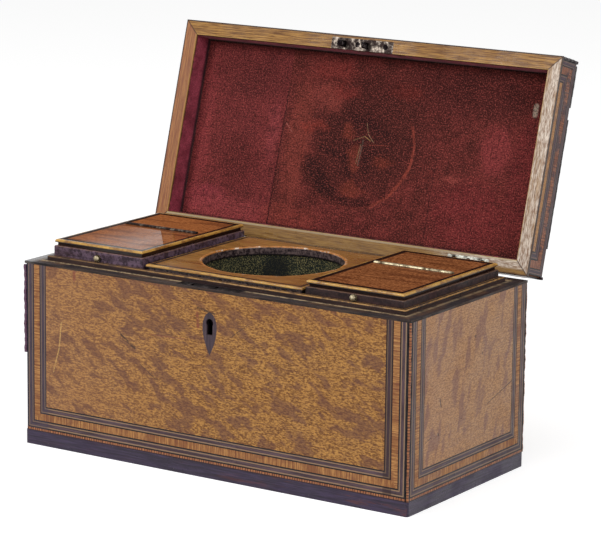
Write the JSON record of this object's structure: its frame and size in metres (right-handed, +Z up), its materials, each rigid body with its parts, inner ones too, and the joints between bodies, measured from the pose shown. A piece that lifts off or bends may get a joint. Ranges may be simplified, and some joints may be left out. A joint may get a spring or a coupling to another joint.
{
  "type": "tea caddy",
  "caption": "Rectangular veneered wooden tea caddy with a hinged lid, lift-out tea canisters with hinged flaps, a lined well for a bowl, a lock and inlaid bands.",
  "frame": {"origin": "middle of the case's underside, on the table", "axes": "+X to the right seen from the front, -Y out of the front, +Z up; lid open"},
  "size_m": [0.305, 0.2094, 0.2716],
  "materials": {
    "carcass": "old oiled mahogany, matt",
    "satinwood": "french polished, worn",
    "rosewood": "french polished, worn",
    "crossbanding": "french polished",
    "boxwood": "polished moulding",
    "ebonised": "ebonised and polished",
    "rosewood_solid": "polished, horizontal grain",
    "platform_wood": "polished",
    "drum_lining": "turned wood lined with dark green paper",
    "velvet": "worn crimson velvet",
    "brass": "aged",
    "steel": "old, darkened",
    "foil": "dull foil"
  },
  "bodies": {
    "case": {"back_board": "carcass", "back_panel": "satinwood", "bottom_board": "carcass", "bowl_platform": "platform_wood", "case_crossbanding": "crossbanding", "case_hinge_leaves": "brass", "case_inner_bands": "rosewood", "case_outer_bands": "rosewood", "case_screws": "steel", "case_stringing": "boxwood", "escutcheon": "rosewood", "front_board": "carcass", "front_panel": "satinwood", "hinge_pins": "brass", "left_board": "carcass", "left_panel": "satinwood", "lip_lining": "ebonised", "lock_case": "brass", "lock_selvedge": "brass", "partitions": "carcass", "platform_edging": "boxwood", "plinth": "ebonised", "right_board": "carcass", "right_panel": "satinwood", "rim_capping": "ebonised", "well_drum": "drum_lining"},
    "lid": {"lid_crossbanding": "crossbanding", "lid_hinge_leaves": "brass", "lid_inner_bands": "rosewood", "lid_outer_bands": "rosewood", "lid_panels": "satinwood", "lid_rails": "carcass", "lid_rim_facing": "satinwood", "lid_screws": "steel", "lid_stringing": "ebonised", "lid_top_board": "carcass", "link_plate": "brass", "lock_links": "steel", "velvet_pad": "velvet", "velvet_sides": "velvet"},
    "left_canister": {"left_canister_box": "rosewood_solid", "left_fixed_top": "rosewood_solid", "left_fixed_top_edging": "boxwood", "left_flap_hinge": "brass", "left_foil_lining": "foil", "left_knob": "brass"},
    "right_canister": {"right_canister_box": "rosewood_solid", "right_fixed_top": "rosewood_solid", "right_fixed_top_edging": "boxwood", "right_flap_hinge": "brass", "right_foil_lining": "foil", "right_knob": "brass"},
    "left_flap": {"left_flap": "rosewood_solid", "left_flap_edging": "boxwood", "left_flap_leaf": "brass"},
    "right_flap": {"right_flap": "rosewood_solid", "right_flap_edging": "boxwood", "right_flap_leaf": "brass"},
    "lock_bolt": {"lock_bolt": "steel"}
  },
  "joints": [
    {"name": "lid_hinge", "type": "hinge", "parent": "case", "child": "lid", "pos_m": [0, 0.0745, 0.1285], "axis": [-1, 0, 0], "range_deg": [-106, 0]},
    {"name": "left_canister_lift", "type": "slide", "parent": "case", "child": "left_canister", "axis": [0, 0, 1], "range_m": [0, 0.13]},
    {"name": "right_canister_lift", "type": "slide", "parent": "case", "child": "right_canister", "axis": [0, 0, 1], "range_m": [0, 0.13]},
    {"name": "left_flap_hinge", "type": "hinge", "parent": "left_canister", "child": "left_flap", "pos_m": [-0.1014, 0.0125, 0.1414], "axis": [-1, 0, 0], "range_deg": [0, 105]},
    {"name": "right_flap_hinge", "type": "hinge", "parent": "right_canister", "child": "right_flap", "pos_m": [0.1014, 0.0125, 0.1394], "axis": [-1, 0, 0], "range_deg": [0, 105]},
    {"name": "lock_bolt_slide", "type": "slide", "parent": "case", "child": "lock_bolt", "axis": [-1, 0, 0], "range_m": [0, 0.0042]}
  ]
}
